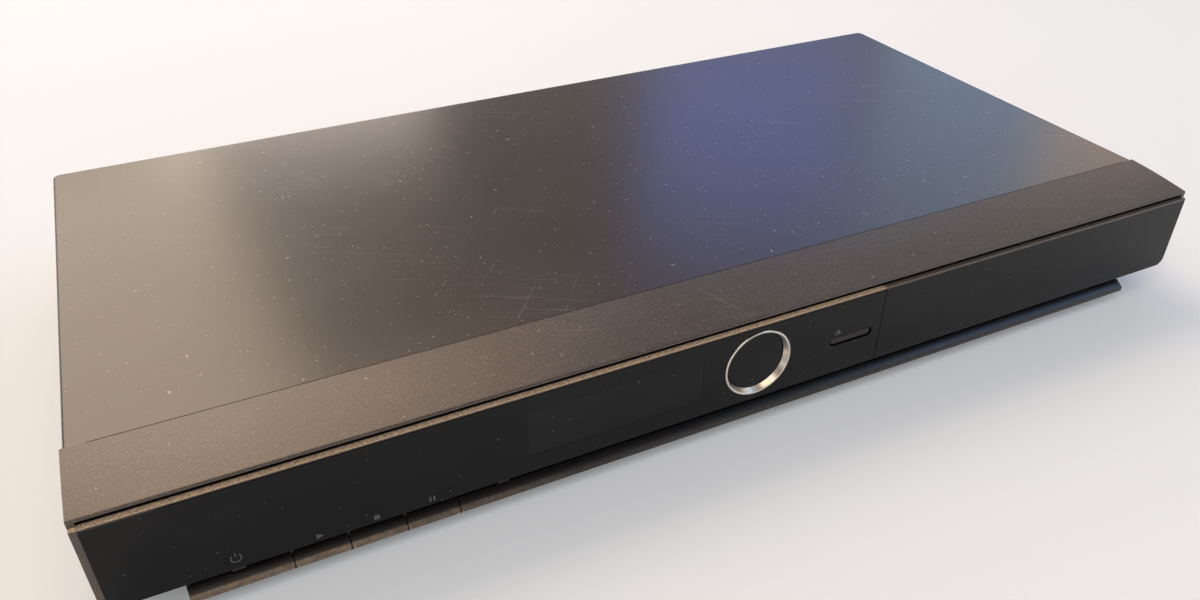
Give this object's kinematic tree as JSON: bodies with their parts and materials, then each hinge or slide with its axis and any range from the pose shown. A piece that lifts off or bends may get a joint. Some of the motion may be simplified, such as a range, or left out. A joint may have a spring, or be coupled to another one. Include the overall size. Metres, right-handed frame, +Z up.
{
  "type": "disc player",
  "caption": "Full-width video disc player: low black case, sloping front strip, gloss fascia with a silver-rimmed round inset, sliding disc tray at the right and keys along a lower lip.",
  "frame": {"origin": "middle of the footprint of the whole outline, on the surface that the feet stand on", "axes": "+X to the right seen from the front, +Y from the front to the back, +Z up"},
  "size_m": [0.43, 0.2266, 0.051],
  "materials": {
    "cover_black": "satin black paint on steel",
    "bezel_black": "fine textured black with a bronze fleck",
    "fascia_black": "deep gloss black acrylic",
    "window_smoke": "smoked clear acrylic",
    "ring_silver": "bright plated",
    "inset_black": "deep gloss black acrylic",
    "key_black": "gloss black",
    "clear_guide": "clear moulded acrylic",
    "tray_black": "fine matt black moulding",
    "gear_white": "natural white acetal",
    "belt_rubber": "plain rubber",
    "motor_steel": "plated steel can",
    "loader_black": "black moulding",
    "plain_steel": "zinc-plated sheet steel",
    "ground_steel": "ground and polished",
    "sled_metal": "die-cast",
    "lens_glass": "coated glass",
    "screw_black": "black-passivated",
    "screw_zinc": "zinc-plated",
    "foot_rubber": "moulded rubber",
    "panel_black": "satin black paint on steel",
    "board_green": "green solder mask",
    "chip_black": "black moulded package",
    "fin_metal": "extruded",
    "ferrite_grey": "ferrite and tape",
    "can_sleeve": "shrink sleeve",
    "display_glass": "glass display block",
    "ribbon_white": "flat flexible cable",
    "port_metal": "plated shell",
    "port_black": "black moulding",
    "jack_metal": "nickel-plated brass"
  },
  "bodies": {
    "chassis": {"av_block": "port_black", "base_pan": "plain_steel", "board_screws": "screw_zinc", "bulk_capacitor": "can_sleeve", "clamp_bridge": "plain_steel", "cover_screws": "screw_black", "display_module": "display_glass", "display_window": "window_smoke", "fan_frame": "port_black", "fascia_panel": "fascia_black", "feet": "foot_rubber", "front_bezel": "bezel_black", "front_board": "board_green", "front_ribbon": "ribbon_white", "hdmi_port": "port_metal", "heat_sink": "fin_metal", "light_guides": "clear_guide", "loader_frame": "loader_black", "loader_screws": "screw_zinc", "loading_belt": "belt_rubber", "loading_motor": "motor_steel", "lower_trim": "key_black", "main_board": "board_green", "mains_inlet": "port_black", "network_port": "port_metal", "optical_port": "port_black", "phono_jacks": "jack_metal", "power_board": "board_green", "power_transformer": "ferrite_grey", "processor": "chip_black", "rear_panel": "panel_black", "ring_bezel": "ring_silver", "ring_disc": "inset_black", "ring_light_guide": "clear_guide", "tact_switches": "chip_black", "top_cover": "cover_black", "usb_port": "port_metal"},
    "tray": {"disc_tray": "tray_black", "tray_front": "bezel_black", "tray_fascia": "fascia_black"},
    "drive_gear": {"drive_gear": "gear_white"},
    "belt_pulley": {"belt_pulley": "gear_white"},
    "motor_pulley": {"motor_pulley": "gear_white"},
    "traverse": {"traverse_chassis": "plain_steel", "guide_rods": "ground_steel", "spindle_motor": "motor_steel", "sled_motor": "motor_steel"},
    "turntable": {"turntable": "loader_black"},
    "lead_screw": {"lead_screw": "ground_steel"},
    "pickup": {"pickup_sled": "sled_metal", "pickup_lens": "lens_glass"},
    "cam_slider": {"cam_slider": "gear_white"},
    "clamper": {"clamper": "gear_white"},
    "fan_rotor": {"fan_rotor": "port_black"},
    "power_key": {"power_key": "key_black"},
    "play_key": {"play_key": "key_black"},
    "stop_key": {"stop_key": "key_black"},
    "pause_key": {"pause_key": "key_black"},
    "eject_key": {"eject_key": "key_black"}
  },
  "joints": [
    {"name": "tray_slide", "type": "slide", "parent": "chassis", "child": "tray", "axis": [0, -1, 0], "range_m": [0, 0.135]},
    {"name": "drive_spin", "type": "hinge", "parent": "chassis", "child": "drive_gear", "pos_m": [0.07885, -0.0897, 0.0255], "axis": [0, 0, 1], "continuous": true},
    {"name": "pulley_spin", "type": "hinge", "parent": "chassis", "child": "belt_pulley", "pos_m": [0.09685, -0.0897, 0.0219], "axis": [0, 0, 1], "continuous": true},
    {"name": "motor_spin", "type": "hinge", "parent": "chassis", "child": "motor_pulley", "pos_m": [0.14185, -0.0897, 0.0219], "axis": [0, 0, 1], "continuous": true},
    {"name": "traverse_lift", "type": "hinge", "parent": "chassis", "child": "traverse", "pos_m": [0.13575, 0.0357, 0.027], "axis": [1, 0, 0], "range_deg": [0, 5]},
    {"name": "cam_slide", "type": "slide", "parent": "chassis", "child": "cam_slider", "axis": [1, 0, 0], "range_m": [0, 0.025]},
    {"name": "table_spin", "type": "hinge", "parent": "traverse", "child": "turntable", "pos_m": [0.13575, -0.0423, 0.0376], "axis": [0, 0, 1], "continuous": true},
    {"name": "clamper_spin", "type": "hinge", "parent": "chassis", "child": "clamper", "pos_m": [0.13575, -0.0423, 0.0393], "axis": [0, 0, 1], "continuous": true},
    {"name": "sled_slide", "type": "slide", "parent": "traverse", "child": "pickup", "axis": [0, 1, 0], "range_m": [0, 0.033]},
    {"name": "screw_spin", "type": "hinge", "parent": "traverse", "child": "lead_screw", "pos_m": [0.15625, -0.0223, 0.0274], "axis": [0, 1, 0], "continuous": true},
    {"name": "fan_spin", "type": "hinge", "parent": "chassis", "child": "fan_rotor", "pos_m": [-0.098, 0.0985, 0.0266], "axis": [0, 1, 0], "continuous": true},
    {"name": "power_press", "type": "slide", "parent": "chassis", "child": "power_key", "axis": [0, 1, 0], "range_m": [0, 0.0006], "stiffness_N_per_m": 1500},
    {"name": "play_press", "type": "slide", "parent": "chassis", "child": "play_key", "axis": [0, 1, 0], "range_m": [0, 0.0006], "stiffness_N_per_m": 1500},
    {"name": "stop_press", "type": "slide", "parent": "chassis", "child": "stop_key", "axis": [0, 1, 0], "range_m": [0, 0.0006], "stiffness_N_per_m": 1500},
    {"name": "pause_press", "type": "slide", "parent": "chassis", "child": "pause_key", "axis": [0, 1, 0], "range_m": [0, 0.0006], "stiffness_N_per_m": 1500},
    {"name": "eject_press", "type": "slide", "parent": "chassis", "child": "eject_key", "axis": [0, 1, 0], "range_m": [0, 0.0006], "stiffness_N_per_m": 1500}
  ],
  "couplings": [
    {"joint": "drive_spin", "follows": "tray_slide", "rad_per_m": -111.11},
    {"joint": "pulley_spin", "follows": "tray_slide", "rad_per_m": 222.22},
    {"joint": "motor_spin", "follows": "tray_slide", "rad_per_m": 851.85},
    {"joint": "cam_slide", "follows": "traverse_lift", "m_per_rad": 0.28647},
    {"joint": "clamper_spin", "follows": "table_spin", "ratio": 1},
    {"joint": "screw_spin", "follows": "sled_slide", "rad_per_m": 2094.4}
  ]
}
